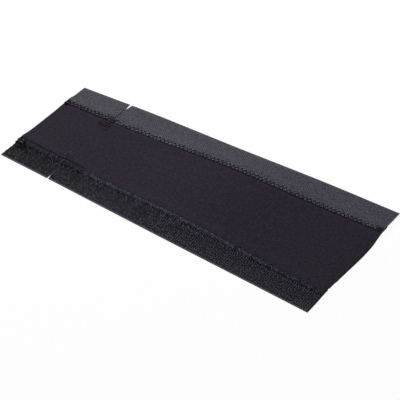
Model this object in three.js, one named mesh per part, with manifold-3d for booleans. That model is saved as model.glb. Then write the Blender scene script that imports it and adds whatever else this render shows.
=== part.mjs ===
// Chainstay protector: a tapered neoprene panel with a loop tape and a hook tape sewn along its long edges.
// It lies flat, outer face up: X runs along the stay, +Y towards the loop tape, Z up, in millimetres.
import * as THREE from "three";
import { mergeVertices } from "three/addons/utils/BufferGeometryUtils.js";
import Module from "manifold-3d";

// The cut of the whole wrap
const wrapLength = 250;
const narrowWidth = 90; // across both tapes at the -X end
const wideWidth = 110; // across both tapes at the +X end
const loopEdgeSwell = 0.9; // the loop tape's outer edge bows out by this in the middle
const hookEdgeSwell = 0.5;
const endBow = 1.6; // the panel bulges this far out of the wide end, between the two seams
const endBowRun = 30; // and the bulge fades out over this length
const endBowSkew = 1.7; // above 1, the bulge is highest on the loop tape's side
const archHeight = 2.3; // the panel stands off the table by this at its highest
const archCentre = 12;
const archReach = 78; // half the length of the arch

// The layers
const panelThickness = 2;
const sewnPanelThickness = 1; // foam crushed under the stitches
const tapeWidth = 23;
const seamLap = 7.2; // overlap of each tape and the panel
const tapeBacking = 0.5; // woven ground of both tapes
const pileHeight = 1.2; // free hooks or loops on the ground
const sewnPileHeight = 0.5; // hooks or loops crushed in the seam
const selvedge = 1.2; // bare edge of the tapes
const selvedgeDroop = 0.5; // how far the loop tape's bare edge hangs down

// How the layers ease from the crushed seam to their full thickness
const shoulder = 2.5; // the panel swells up within this of the seam
const lowStretch = 9; // the panel stays off the table for this far in from the tapes' inner edges
const easeRun = 1.6; // then comes down to it within this
const easeCrush = 0.2; // and is this much thinner until then
const dropRun = 4.5; // the tapes come down to the table within this

// The rows of hooks
const hookRowPitch = 1.6;
const hookRowBase = 1.1;
const hookRowCrown = 0.7;

// The sewing
const threadDiameter = 0.45;
const threadClearance = 0.06;
const stitchLength = 1.55; // along the seam, from one needle hole to the next
const zigzagReach = 1.2; // from the seam's middle line to the thread's turn
const seamInset = 1.7; // from the upper layer's edge to the seam's middle line
const straightInset = 4.4; // the same, where the hook seam is sewn straight
const seamEndMargin = 1.2;
const tackStitch = 0.9; // close stitches of the loop seam
const tackLength = 6.3; // at the trim line
const endTackLength = 9; // at the wide end
const plainStitchLength = 9.5; // straight run of the loop seam past the trim line
const hookStraightLength = 56.5; // the hook seam is straight for this far from the narrow end
const sharpestMitre = 2;

// The trim line, where both tapes are slit and the panel is darned
const trimLength = 40.5; // from the narrow end
const slitKerf = 0.3;
const loopSlitStop = 3.4; // the loop tape's slit ends this far from its inner edge, short of the seam
const loopMouth = { width: 1.8, innerWidth: 1.2, depth: 4 };
const hookMouth = { width: 1.9, innerWidth: slitKerf, depth: 3.4 };
const darnRows = 4;
const darnPitch = 2.1;
const darnLength = 8;
const loopDarn = { offset: -1.1, inset: 2.3 }; // along from the trim line, and in from the tape's inner edge
const hookDarn = { offset: 1.4, inset: -1.6 };

const stationCount = 26; // sections along the wrap
const panelStrips = 6; // strips across the flat of the panel

// Places that follow from the sizes above
const narrowEnd = -(wrapLength + endBow) / 2;
const wideEnd = narrowEnd + wrapLength;
const trimLine = narrowEnd + trimLength;
const threadRadius = threadDiameter / 2;
const threadRoom = threadDiameter + threadClearance; // under the layers, for the lower thread
const sewnTapeThickness = tapeBacking + sewnPileHeight;
const loopSeamMiddle = threadRoom + sewnPanelThickness; // the loop tape lies on the panel here
const hookSeamMiddle = threadRoom + sewnTapeThickness; // and the panel on the hook tape here
const seamTop = threadRoom + sewnPanelThickness + sewnTapeThickness;
const easedPanelTop = threadRoom + panelThickness - easeCrush;
const upperSeamThread = seamTop + threadClearance + threadRadius;
const lowerThread = threadRadius;

const { clamp, lerp } = THREE.MathUtils;

// Distances from the wrap's middle line at a place along it
function widthsAt(x) {
  const along = clamp((x - narrowEnd) / wrapLength, 0, 1);
  const half = lerp(narrowWidth, wideWidth, along) / 2;
  const swell = Math.sin(Math.PI * along);
  const tapeInner = half - tapeWidth;
  return {
    tapeInner,
    panelEdge: tapeInner + seamLap,
    loopOuter: half + loopEdgeSwell * swell,
    hookOuter: half + hookEdgeSwell * swell,
  };
}

// The panel's low arch along the wrap
function archAt(x) {
  const offset = Math.min(Math.abs(x - archCentre) / archReach, 1);
  return (archHeight * (1 + Math.cos(Math.PI * offset))) / 2;
}

// How far the panel's wide end bulges out at y across the wrap, between the two seams
function endBowAt(x, y, tapeInner) {
  const across = clamp((y + tapeInner) / (2 * tapeInner), 0, 1);
  const nearness = clamp(1 - (wideEnd - x) / endBowRun, 0, 1);
  return endBow * nearness * Math.sin(Math.PI * across ** endBowSkew);
}

// A closed solid through rings of points, which turn anticlockwise seen from the last ring's side.
// The outline is the rings' common shape in the plane, for the two end caps.
function loft(rings, outline) {
  const size = outline.length;
  const index = [];
  for (let ring = 0; ring + 1 < rings.length; ring++) {
    for (let i = 0; i < size; i++) {
      const a = ring * size + i;
      const b = ring * size + ((i + 1) % size);
      index.push(a, b, b + size, a, b + size, a + size);
    }
  }
  const last = (rings.length - 1) * size;
  for (const [a, b, c] of THREE.ShapeUtils.triangulateShape(outline, [])) {
    index.push(a, c, b, last + a, last + b, last + c);
  }
  const geometry = new THREE.BufferGeometry().setFromPoints(rings.flat());
  geometry.setIndex(index);
  return geometry;
}

// A layer of the wrap: sectionAt gives its outline across the wrap as [y, z] pairs
function layer(sectionAt, liftAt, bowAt = () => 0) {
  const rings = [];
  for (let i = 0; i < stationCount; i++) {
    const x = lerp(narrowEnd, wideEnd, i / (stationCount - 1));
    const widths = widthsAt(x);
    rings.push(
      sectionAt(widths).map(([y, z]) => {
        const lift = archAt(x) * liftAt(y, widths);
        return new THREE.Vector3(x + bowAt(x, y, widths.tapeInner), y, z + lift);
      }),
    );
  }
  const outline = sectionAt(widthsAt(narrowEnd)).map(([y, z]) => new THREE.Vector2(y, z));
  return loft(rings, outline);
}

// The tapes follow the panel's arch at the seam, and lie on the table at their outer edges
const tapeLift = (outer) => (y, widths) =>
  clamp((widths[outer] - Math.abs(y)) / (widths[outer] - widths.panelEdge), 0, 1);

function neoprenePanel() {
  const section = ({ tapeInner, panelEdge }) => {
    const lowEnd = tapeInner - lowStretch;
    const flatHalf = lowEnd - 2 * easeRun;
    const across = (half, z) =>
      Array.from({ length: panelStrips + 1 }, (_, i) => [lerp(-half, half, i / panelStrips), z]);
    return [
      [-panelEdge, hookSeamMiddle],
      [-tapeInner + threadClearance, hookSeamMiddle],
      [-tapeInner + shoulder, threadRoom],
      [-lowEnd, threadRoom],
      ...across(lowEnd - easeRun, 0),
      [lowEnd, threadRoom],
      [panelEdge, threadRoom],
      [panelEdge, loopSeamMiddle],
      [tapeInner, loopSeamMiddle],
      [tapeInner - shoulder, easedPanelTop],
      [lowEnd, easedPanelTop],
      ...across(-flatHalf, panelThickness),
      [-lowEnd, easedPanelTop],
      [-tapeInner + shoulder, easedPanelTop],
      [-tapeInner, seamTop],
      [-panelEdge, seamTop],
    ];
  };
  return layer(section, () => 1, endBowAt);
}

function loopTape() {
  const backTop = pileHeight + tapeBacking;
  const section = ({ tapeInner, panelEdge, loopOuter }) => [
    [tapeInner, loopSeamMiddle],
    [panelEdge, loopSeamMiddle],
    [panelEdge + dropRun, 0],
    [loopOuter - selvedge, 0],
    [loopOuter - selvedge, pileHeight],
    [loopOuter, pileHeight - selvedgeDroop],
    [loopOuter, backTop - selvedgeDroop],
    [loopOuter - selvedge, backTop],
    [panelEdge + dropRun, backTop],
    [panelEdge, seamTop],
    [tapeInner, seamTop],
  ];
  const tape = layer(section, tapeLift("loopOuter"));
  const { tapeInner, loopOuter } = widthsAt(trimLine);
  return cut(tape, slitCutter(loopMouth, loopOuter, tapeInner + loopSlitStop));
}

function hookTape() {
  const rowSpan = tapeWidth - seamLap - selvedge - hookRowPitch / 2;
  const rowCount = Math.floor(rowSpan / hookRowPitch);
  const section = ({ tapeInner, panelEdge, hookOuter }) => {
    const undersideAt = (reach) => threadRoom * clamp(1 - (reach - panelEdge) / dropRun, 0, 1);
    const rows = [];
    for (let row = rowCount - 1; row >= 0; row--) {
      const middle = hookOuter - selvedge - (row + 0.5) * hookRowPitch;
      const ground = undersideAt(middle) + tapeBacking;
      rows.push(
        [-middle + hookRowBase / 2, ground],
        [-middle + hookRowCrown / 2, ground + pileHeight],
        [-middle - hookRowCrown / 2, ground + pileHeight],
        [-middle - hookRowBase / 2, ground],
      );
    }
    return [
      [-hookOuter, 0],
      [-panelEdge - dropRun, 0],
      [-panelEdge, threadRoom],
      [-tapeInner, threadRoom],
      [-tapeInner, hookSeamMiddle],
      [-panelEdge, hookSeamMiddle],
      ...rows,
      [-hookOuter, tapeBacking],
    ];
  };
  const tape = layer(section, tapeLift("hookOuter"));
  const { panelEdge, hookOuter } = widthsAt(trimLine);
  return cut(tape, slitCutter(hookMouth, -hookOuter, -panelEdge));
}

// The slit of a tape at the trim line: an open mouth at its outer edge, then a kerf inwards
function slitCutter(mouth, outer, inner) {
  const inward = Math.sign(inner - outer);
  const beyond = outer - inward * mouth.depth;
  const mouthEnd = outer + inward * mouth.depth;
  const half = [
    [mouth.width / 2, beyond],
    [mouth.width / 2, outer],
    [mouth.innerWidth / 2, mouthEnd],
    [slitKerf / 2, mouthEnd],
    [slitKerf / 2, inner],
  ];
  const mirrored = half.map(([x, y]) => [-x, y]).reverse();
  const outline = [...half, ...mirrored].map(([x, y]) => new THREE.Vector2(trimLine + x, y));
  const depth = archHeight + 3 * seamTop;
  const cutter = new THREE.ExtrudeGeometry(new THREE.Shape(outline), { depth, bevelEnabled: false });
  return cutter.translate(0, 0, -seamTop);
}

// A six-sided thread with flats above and below, mitred at each corner of its path
function thread(path) {
  const cornerRadius = threadRadius / Math.cos(Math.PI / 6);
  const outline = Array.from({ length: 6 }, (_, side) => {
    const turn = (side * Math.PI) / 3;
    return new THREE.Vector2(cornerRadius * Math.cos(turn), cornerRadius * Math.sin(turn));
  });
  const legs = path.slice(1).map((point, i) => {
    const leg = point.clone().sub(path[i]);
    return new THREE.Vector2(leg.x, leg.y).normalize();
  });
  const rings = path.map((point, i) => {
    const before = legs[Math.max(i - 1, 0)];
    const after = legs[Math.min(i, legs.length - 1)];
    const heading = before.clone().add(after).normalize();
    const mitre = Math.min(1 / heading.dot(after), sharpestMitre);
    return outline.map(({ x: across, y: up }) => {
      const sideways = across * mitre;
      return point.clone().add(new THREE.Vector3(-heading.y * sideways, heading.x * sideways, up));
    });
  });
  return loft(rings, outline);
}

// Stitches as [x, distance from the wrap's middle line], laid above or below the layers
function sewn(stitches, side, heightAt) {
  const laid = stitches.map(([x, reach]) => {
    return new THREE.Vector3(x, side * reach, heightAt(x, reach) + archAt(x));
  });
  return thread(laid);
}

const overSeam = () => upperSeamThread;
const underLayers = () => lowerThread;

// The darning follows the panel down from the seam to its shoulder
function overShoulder(x, reach) {
  const inward = clamp((widthsAt(x).tapeInner - reach) / shoulder, 0, 1);
  return lerp(seamTop, easedPanelTop, inward) + threadClearance + threadRadius;
}

// Zigzag stitches about the line middleAt(x)
function zigzag(from, to, stitch, middleAt) {
  const count = Math.round((to - from) / stitch);
  return Array.from({ length: count + 1 }, (_, i) => {
    const x = lerp(from, to, i / count);
    return [x, middleAt(x) + (i % 2 ? zigzagReach : -zigzagReach)];
  });
}

// The loop seam: zigzag, close stitches at the trim line, a short plain run, zigzag, and close stitches
function loopSeam(heightAt) {
  const middleAt = (x) => widthsAt(x).tapeInner + seamInset;
  const tackStart = trimLine - tackLength / 2;
  const tackEnd = trimLine + tackLength / 2;
  const endTack = wideEnd - endTackLength;
  const stitches = [
    ...zigzag(narrowEnd + seamEndMargin, tackStart - stitchLength, stitchLength, middleAt),
    ...zigzag(tackStart, tackEnd, tackStitch, middleAt),
    ...zigzag(tackEnd + plainStitchLength, endTack - stitchLength, stitchLength, middleAt),
    ...zigzag(endTack, wideEnd - seamEndMargin, tackStitch, middleAt),
  ];
  return sewn(stitches, 1, heightAt);
}

// The hook seam: straight from the narrow end past the trim line, then zigzag to the wide end
function hookSeam(heightAt) {
  const straightStart = narrowEnd + seamEndMargin;
  const straightEnd = narrowEnd + hookStraightLength;
  const straight = [straightStart, straightEnd].map((x) => [x, widthsAt(x).panelEdge - straightInset]);
  const middleAt = (x) => widthsAt(x).panelEdge - seamInset;
  const turning = zigzag(straightEnd + stitchLength, wideEnd - seamEndMargin, stitchLength, middleAt);
  return sewn([...straight, ...turning], -1, heightAt);
}

// Darning beside the trim line: rows along the seam, joined at alternate ends
function darning(side, { offset, inset }, heightAt) {
  const middle = trimLine + offset;
  const firstRow = widthsAt(trimLine).tapeInner - inset;
  const stitches = [];
  for (let row = 0; row < darnRows; row++) {
    const reach = firstRow - row * darnPitch;
    const way = row % 2 ? -1 : 1;
    stitches.push([middle - (way * darnLength) / 2, reach]);
    stitches.push([middle + (way * darnLength) / 2, reach]);
  }
  return sewn(stitches, side, heightAt);
}

const wasm = await Module();
wasm.setup();

function solidOf(geometry) {
  const bare = geometry.clone();
  bare.deleteAttribute("normal");
  bare.deleteAttribute("uv");
  const merged = mergeVertices(bare);
  const mesh = new wasm.Mesh({
    numProp: 3,
    vertProperties: merged.attributes.position.array,
    triVerts: new Uint32Array(merged.index.array),
  });
  return new wasm.Manifold(mesh);
}

function cut(geometry, cutter) {
  const { vertProperties, triVerts } = solidOf(geometry).subtract(solidOf(cutter)).getMesh();
  const result = new THREE.BufferGeometry();
  result.setAttribute("position", new THREE.BufferAttribute(vertProperties, 3));
  result.setIndex(new THREE.BufferAttribute(triVerts, 1));
  return result;
}

const finish = (color, roughness) =>
  new THREE.MeshStandardMaterial({ color, roughness, metalness: 0, flatShading: true });
const neoprene = finish("#2e2a34", 0.95);
const wovenLoop = finish("#48474f", 0.8);
const hookNylon = finish("#29282e", 0.6);
const polyester = finish("#1c1b20", 0.5);

const protector = new THREE.Group();
const pieces = [
  ["neoprene_panel", neoprenePanel(), neoprene],
  ["loop_tape", loopTape(), wovenLoop],
  ["hook_tape", hookTape(), hookNylon],
  ["loop_seam_needle_thread", loopSeam(overSeam), polyester],
  ["loop_seam_bobbin_thread", loopSeam(underLayers), polyester],
  ["hook_seam_needle_thread", hookSeam(overSeam), polyester],
  ["hook_seam_bobbin_thread", hookSeam(underLayers), polyester],
  ["loop_side_darning_needle_thread", darning(1, loopDarn, overShoulder), polyester],
  ["loop_side_darning_bobbin_thread", darning(1, loopDarn, underLayers), polyester],
  ["hook_side_darning_needle_thread", darning(-1, hookDarn, overShoulder), polyester],
  ["hook_side_darning_bobbin_thread", darning(-1, hookDarn, underLayers), polyester],
];
for (const [name, geometry, material] of pieces) {
  const mesh = new THREE.Mesh(geometry, material);
  mesh.name = name;
  protector.add(mesh);
}

export default protector;
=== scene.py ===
import math

import bpy
import numpy as np
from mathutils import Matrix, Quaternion, Vector
from mathutils.kdtree import KDTree


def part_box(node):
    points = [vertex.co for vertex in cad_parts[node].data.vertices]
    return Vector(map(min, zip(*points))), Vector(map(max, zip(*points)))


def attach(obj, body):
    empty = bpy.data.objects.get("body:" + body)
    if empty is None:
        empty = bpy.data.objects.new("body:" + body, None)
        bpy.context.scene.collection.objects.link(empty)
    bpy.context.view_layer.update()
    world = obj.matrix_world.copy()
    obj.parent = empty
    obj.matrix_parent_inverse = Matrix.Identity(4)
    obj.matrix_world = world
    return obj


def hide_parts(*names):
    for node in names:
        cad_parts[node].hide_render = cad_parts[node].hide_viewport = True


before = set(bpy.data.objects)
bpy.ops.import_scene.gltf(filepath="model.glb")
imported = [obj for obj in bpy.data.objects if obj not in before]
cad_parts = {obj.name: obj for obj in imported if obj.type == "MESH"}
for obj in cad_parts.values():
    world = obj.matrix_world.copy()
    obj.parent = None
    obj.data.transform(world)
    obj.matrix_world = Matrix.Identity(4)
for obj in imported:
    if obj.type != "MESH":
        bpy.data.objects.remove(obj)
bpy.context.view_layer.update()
mm = 0.001
dice = np.random.default_rng(11)

# The wrap lies along X, its loop tape towards +Y and its hook tape towards -Y, outer face up.
loopLow, loopHigh = (Vector(corner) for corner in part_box("loop_tape"))
panelHigh = Vector(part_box("neoprene_panel")[1])

wrap = {
    "narrowEnd": loopLow.x,
    "wideEnd": loopHigh.x,
    "length": loopHigh.x - loopLow.x,
    "tapeWidth": 23 * mm,
    "lap": 7.2 * mm,  # each tape over or under the panel
    "loopSwell": 0.9 * mm,
    "hookSwell": 0.5 * mm,
    "endBow": panelHigh.x - loopHigh.x,
    "endBowRun": 30 * mm,
    "endBowSkew": 1.7,
    "archCentre": 12 * mm,
    "archReach": 78 * mm,
    "trimLine": loopLow.x + 39.5 * mm,
    "endSkew": 1 * mm,  # the narrow end isn't cut quite square
    "endSkewRun": 40 * mm,
    "endSkewReach": 45 * mm,
    "loopEdge": [(-125.8, -0.6), (-70, 0.4), (0, -0.25), (70, 0.7), (124.2, 0.2)],  # the outer edges wander
    "hookEdge": [(-125.8, 0.2), (-85, -0.15), (0, 0), (80, 0.2), (124.2, 0.5)],
    "edgeEase": 24 * mm,
}
heights = {"seamTop": 2.51 * mm, "pile": 1.2 * mm}  # where the panel lies flat on the table
wrap["archHeight"] = panelHigh.z - heights["seamTop"]
narrowEnd, wideEnd, trimLine = wrap["narrowEnd"], wrap["wideEnd"], wrap["trimLine"]
tapeWidth, lap = wrap["tapeWidth"], wrap["lap"]


def smooth(amount):
    amount = np.clip(amount, 0, 1)
    return amount * amount * (3 - 2 * amount)


def ramp(value, start, run):  # 0 up to the start, 1 from the end of the run
    return smooth((value - start) / run)


def bell(away, width):
    return np.exp(-((away / width) ** 2))


def sine(x, pitch, phase=0):
    return np.sin(x * 2 * np.pi / pitch + phase)


def easedProfile(places, points, softness=0.7 * mm):  # heights along a line, its corners rounded
    points = np.array(points) * mm
    fine = np.arange(points[0, 0] - 2 * softness, points[-1, 0] + 2 * softness, softness / 8)
    raw = np.interp(fine, points[:, 0], points[:, 1])
    padded = np.pad(raw, 4, mode="edge")
    rounded = np.convolve(padded, np.ones(9) / 9, mode="valid")
    return np.interp(places, fine, rounded)


def widthsAt(x):  # tape's inner edge, panel's edge and the two outer edges, from the middle line
    along = np.clip((x - narrowEnd) / wrap["length"], 0, 1)
    narrowInner = loopLow.y
    wideInner = loopHigh.y - tapeWidth
    inner = narrowInner + (wideInner - narrowInner) * along
    swell = np.sin(np.pi * along)
    outer = inner + tapeWidth
    loopOuter = outer + wrap["loopSwell"] * swell + easedProfile(x, wrap["loopEdge"], wrap["edgeEase"])
    hookOuter = outer + wrap["hookSwell"] * swell + easedProfile(x, wrap["hookEdge"], wrap["edgeEase"])
    return inner, inner + lap, loopOuter, hookOuter


def skewAt(x, y):
    nearness = np.clip(1 - (x - narrowEnd) / wrap["endSkewRun"], 0, 1)
    return wrap["endSkew"] * nearness * y / wrap["endSkewReach"]


def archAt(x):
    offset = np.minimum(np.abs(x - wrap["archCentre"]) / wrap["archReach"], 1)
    return wrap["archHeight"] * (1 + np.cos(np.pi * offset)) / 2


def liftAt(x, y):  # the tapes ease down from the panel's arch to the table at their outer edges
    _, edge, loopOuter, hookOuter = widthsAt(x)
    outer = np.where(y > 0, loopOuter, hookOuter)
    return archAt(x) * np.clip((outer - np.abs(y)) / (outer - edge), 0, 1)


# Sewing: where the needle goes down, as [x, distance from the middle line]
sewing = {
    "stitch": 1.55 * mm,
    "reach": 1.2 * mm,
    "inset": 1.7 * mm,
    "hookReach": 1.45 * mm,
    "endMargin": 1.2 * mm,
    "straightInset": 4.4 * mm,
    "straightStitch": 2.7 * mm,
    "straightLength": 56.5 * mm,
    "overlap": 31 * mm,
    "overlapInset": 2.1 * mm,
    "tackStitch": 1.3 * mm,
    "tackLength": 6.3 * mm,
    "barStrokes": (-4.1 * mm, -2.3 * mm, -0.5 * mm, 1.3 * mm),  # along from the trim line
    "barLean": 2.2 * mm,
    "barReach": (1.1 * mm, 4.5 * mm),  # out from the tape's inner edge
    "barWidth": 0.5 * mm,
    "endTackLength": 9 * mm,
    "plainLength": 9.5 * mm,
    "darnPitch": 2.1 * mm,
    "darnRows": 4,
    "darnLength": 8 * mm,
    "loopDarn": (-1.1 * mm, 2.3 * mm),  # along from the trim line, and in from the tape's inner edge
    "hookDarn": (1.4 * mm, -1.6 * mm),
}
seamStart, seamEnd = narrowEnd + sewing["endMargin"], wideEnd - sewing["endMargin"]
seamTurn = narrowEnd + sewing["straightLength"]  # the hook seam's straight stitches end here


def zigzag(start, end, lineAt, wander=0.08 * mm, stitch=sewing["stitch"], reach=sewing["reach"]):
    count = round((end - start) / stitch)
    x = np.linspace(start, end, count + 1)
    turn = np.where(np.arange(count + 1) % 2, 1, -1) * reach
    return np.column_stack([x, lineAt(x) + turn]) + dice.normal(0, wander, (count + 1, 2))


def loopSeamHoles():
    lineAt = lambda x: widthsAt(x)[0] + sewing["inset"]
    tackStart = trimLine - sewing["tackLength"] / 2
    tackEnd = trimLine + sewing["tackLength"] / 2
    endTack = wideEnd - sewing["endTackLength"]
    return [
        zigzag(seamStart, tackStart - sewing["stitch"], lineAt, 0.2 * mm),
        zigzag(tackStart, tackEnd, lineAt, 0.12 * mm, sewing["tackStitch"]),
        zigzag(tackEnd + sewing["plainLength"], endTack - sewing["stitch"], lineAt),
        zigzag(endTack, seamEnd, lineAt, 0.2 * mm, sewing["tackStitch"]),
    ]


def hookSeamHoles():
    x = np.linspace(seamStart, seamTurn, round((seamTurn - seamStart) / sewing["straightStitch"]) + 1)
    sway = 0.28 * mm * np.sin(x * 340 + 2 * np.sin(x * 120)) + dice.normal(0, 0.08 * mm, len(x))
    straight = np.column_stack([x, widthsAt(x)[1] - sewing["straightInset"] + sway])
    lineAt = lambda x: widthsAt(x)[1] - sewing["inset"]
    start = seamTurn + sewing["stitch"]
    return [straight, zigzag(start, seamEnd, lineAt, 0.28 * mm, reach=sewing["hookReach"])]


def overlapHoles():  # the zigzag starts beside the straight stitches
    lineAt = lambda x: widthsAt(x)[1] - sewing["overlapInset"]
    return zigzag(seamTurn - sewing["overlap"], seamTurn, lineAt, 0.3 * mm)


def barTackHoles():  # bold strokes that close the slit's inner end, the thread laid out and back
    inner = widthsAt(trimLine)[0]
    near, far = (inner + reach for reach in sewing["barReach"])
    width, lean = sewing["barWidth"], sewing["barLean"]
    starts = [trimLine + stroke + lean / 2 for stroke in sewing["barStrokes"]]
    return [np.array([[x, near], [x + width / 2 - lean, far], [x + width, near]]) for x in starts]


def darningHoles(offset, inset):
    first = widthsAt(trimLine)[0] - inset
    holes = []
    for row in range(sewing["darnRows"]):
        way = -1 if row % 2 else 1
        reach = first - row * sewing["darnPitch"]
        x = trimLine + offset + way * sewing["darnLength"] / 2 * np.linspace(-1, 1, 4)
        holes.append(np.column_stack([x, np.full(4, reach)]))
    return np.vstack(holes)


def alongStitches(holes, step):  # points along the stitches, and how far each is from a hole
    pieces = []
    for start, end in zip(holes[:-1], holes[1:]):
        length = np.linalg.norm(end - start)
        part = np.linspace(0, 1, max(round(length / step), 3), endpoint=False)
        toHole = np.minimum(part, 1 - part) * length
        pieces.append(np.column_stack([start + part[:, None] * (end - start), toHole]))
    pieces.append(np.array([[*holes[-1], 0]]))
    return np.vstack(pieces)


def nearestTo(points):  # gives a function for the distance to the nearest of them
    tree = KDTree(len(points))
    for number, (x, y) in enumerate(points):
        tree.insert((x, y, 0), number)
    tree.balance()
    return lambda x, y: np.array([tree.find((a, b, 0))[2] for a, b in zip(x, y)])


press = {
    "threadWidth": 0.34 * mm,
    "holeWidth": 0.42 * mm,
    "holeDepth": 1.4,
    "puff": 2.6,
    "puffReach": 1.7 * mm,
    "shadeWidth": 0.5 * mm,
    "threadShade": 0.4,
    "holeShade": 0.6,
    "margin": 2.5 * mm,
}


def stitchMarks(holes, side):  # how the stitches press into the fabric, and swell it between them
    line = alongStitches(holes, 0.12 * mm)[:, :2]
    toThread, toHole = nearestTo(line), nearestTo(holes)
    low, high = line.min(axis=0) - press["margin"], line.max(axis=0) + press["margin"]

    def marks(x, y):
        groove, puff, shade = np.zeros((3, len(x)))
        reach = y * side
        near = (x > low[0]) & (x < high[0]) & (reach > low[1]) & (reach < high[1])
        thread, hole = toThread(x[near], reach[near]), toHole(x[near], reach[near])
        atThread, atHole = bell(thread, press["shadeWidth"]), bell(hole, press["shadeWidth"])
        groove[near] = bell(thread, press["threadWidth"]) + press["holeDepth"] * bell(hole, press["holeWidth"])
        nearby = np.clip(1 - thread / press["puffReach"], 0, 1)
        puff[near] = press["puff"] * nearby * (1 - atThread)
        # painted shade along the threads and in the needle holes
        shade[near] = press["threadShade"] * atThread + press["holeShade"] * atHole
        return groove, puff, np.clip(shade, 0, 1)

    return marks


loopParts, hookParts = loopSeamHoles(), hookSeamHoles()
darnHoles = {1: darningHoles(*sewing["loopDarn"]), -1: darningHoles(*sewing["hookDarn"])}
loopHoles, hookHoles = np.vstack(loopParts), np.vstack(hookParts)
loopMarks, hookMarks = stitchMarks(loopHoles, 1), stitchMarks(hookHoles, -1)
darnMarks = [stitchMarks(holes, side) for side, holes in darnHoles.items()]
besideHoles = overlapHoles()
besideMarks = stitchMarks(besideHoles, -1)
barHoles = barTackHoles()
barMarks = stitchMarks(np.vstack(barHoles), 1)
print("stitches:", len(loopHoles), "on the loop tape,", len(hookHoles), "on the hook tape")


# Sheets of fabric start as a grid whose corners count stations along and columns across.
def placesOf(piece):
    places = np.empty(len(piece.data.vertices) * 3, dtype=np.float32)
    piece.data.vertices.foreach_get("co", places)
    return places.reshape(-1, 3).astype(np.float64)


def putPlaces(piece, places):
    piece.data.vertices.foreach_set("co", places.astype(np.float32).ravel())
    piece.data.update()


def selectOnly(piece):
    bpy.ops.object.select_all(action="DESELECT")
    piece.select_set(True)
    bpy.context.view_layer.objects.active = piece


def turnFacesOut():  # of the active piece
    bpy.ops.object.mode_set(mode="EDIT")
    bpy.ops.mesh.select_all(action="SELECT")
    bpy.ops.mesh.normals_make_consistent(inside=False)
    bpy.ops.object.mode_set(mode="OBJECT")


def stationAt(station, stations):
    return narrowEnd + wrap["length"] * station / stations


def fromEnds(count, last):  # 1 at the first of a row, -1 at the last
    return np.where(count == 0, 1, np.where(count == last, -1, 0))


def countedSheet(name, stations, columns, levels, kerf=None):
    bpy.ops.mesh.primitive_grid_add(x_subdivisions=stations, y_subdivisions=columns, size=1)
    piece = bpy.context.object
    piece.name = piece.data.name = name
    counts = placesOf(piece)
    counts[:, 0] = np.rint((counts[:, 0] + 0.5) * stations)
    counts[:, 1] = np.rint((counts[:, 1] + 0.5) * columns)
    putPlaces(piece, counts)
    bpy.ops.object.mode_set(mode="EDIT")
    bpy.ops.mesh.select_mode(type="FACE")
    if kerf:
        bpy.ops.mesh.select_all(action="DESELECT")
        bpy.ops.object.mode_set(mode="OBJECT")
        for face in piece.data.polygons:
            face.select = int(face.center.x) == kerf[0] and kerf[1] <= face.center.y <= kerf[2]
        bpy.ops.object.mode_set(mode="EDIT")
        bpy.ops.mesh.delete(type="FACE")
    bpy.ops.mesh.select_all(action="SELECT")
    for _ in range(levels - 1):
        down = {"value": (0, 0, -1), "orient_type": "GLOBAL"}
        bpy.ops.mesh.extrude_region_move(TRANSFORM_OT_translate=down)
    turnFacesOut()
    counts = np.rint(placesOf(piece))
    return piece, counts[:, 0].astype(int), counts[:, 1].astype(int), -counts[:, 2].astype(int)


def newObject(name, data):
    piece = bpy.data.objects.new(name, data)
    bpy.context.scene.collection.objects.link(piece)
    return piece


def setTone(piece, tone):  # how much lighter or darker than its yarn each place is
    layer = piece.data.attributes.new("tone", "FLOAT", "POINT")
    layer.data.foreach_set("value", tone.astype(np.float32))


def finishSheet(piece, materials, angle=50):
    selectOnly(piece)
    bpy.ops.object.shade_smooth_by_angle(angle=math.radians(angle))
    piece.data.materials.clear()
    for material in materials:
        piece.data.materials.append(material)
    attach(piece, "root")


# Effects that several materials share
def newGroup(name, pitches, outputs):
    group = bpy.data.node_groups.new(name, "ShaderNodeTree")
    group.interface.new_socket("Vector", in_out="INPUT", socket_type="NodeSocketVector")
    for socket in pitches:
        group.interface.new_socket(socket, in_out="INPUT", socket_type="NodeSocketFloat")
    for socket in outputs:
        group.interface.new_socket(socket, in_out="OUTPUT", socket_type="NodeSocketFloat")
    return group, group.nodes.new("NodeGroupInput"), group.nodes.new("NodeGroupOutput")


def axesOf(tree, place):
    node = tree.nodes.new("ShaderNodeSeparateXYZ")
    tree.links.new(place, node.inputs[0])
    return node.outputs["X"], node.outputs["Y"]


def mathNode(tree, operation, *values, clamp=False):
    node = tree.nodes.new("ShaderNodeMath")
    node.operation, node.use_clamp = operation, clamp
    for socket, value in zip(node.inputs, values):
        if isinstance(value, (int, float)):
            socket.default_value = value
        else:
            tree.links.new(value, socket)
    return node.outputs[0]


def wave(tree, place, pitch):  # 0 to 1 and back once in each pitch
    turns = mathNode(tree, "DIVIDE", place, pitch)
    swing = mathNode(tree, "SINE", mathNode(tree, "MULTIPLY", turns, 2 * math.pi))
    return mathNode(tree, "MULTIPLY_ADD", swing, 0.5, 0.5)


def noiseNode(tree, vector, scale, detail=3.0, roughness=0.55):
    node = tree.nodes.new("ShaderNodeTexNoise")
    node.inputs["Scale"].default_value = scale
    node.inputs["Detail"].default_value = detail
    node.inputs["Roughness"].default_value = roughness
    tree.links.new(vector, node.inputs["Vector"])
    return node.outputs["Fac"]


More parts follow.
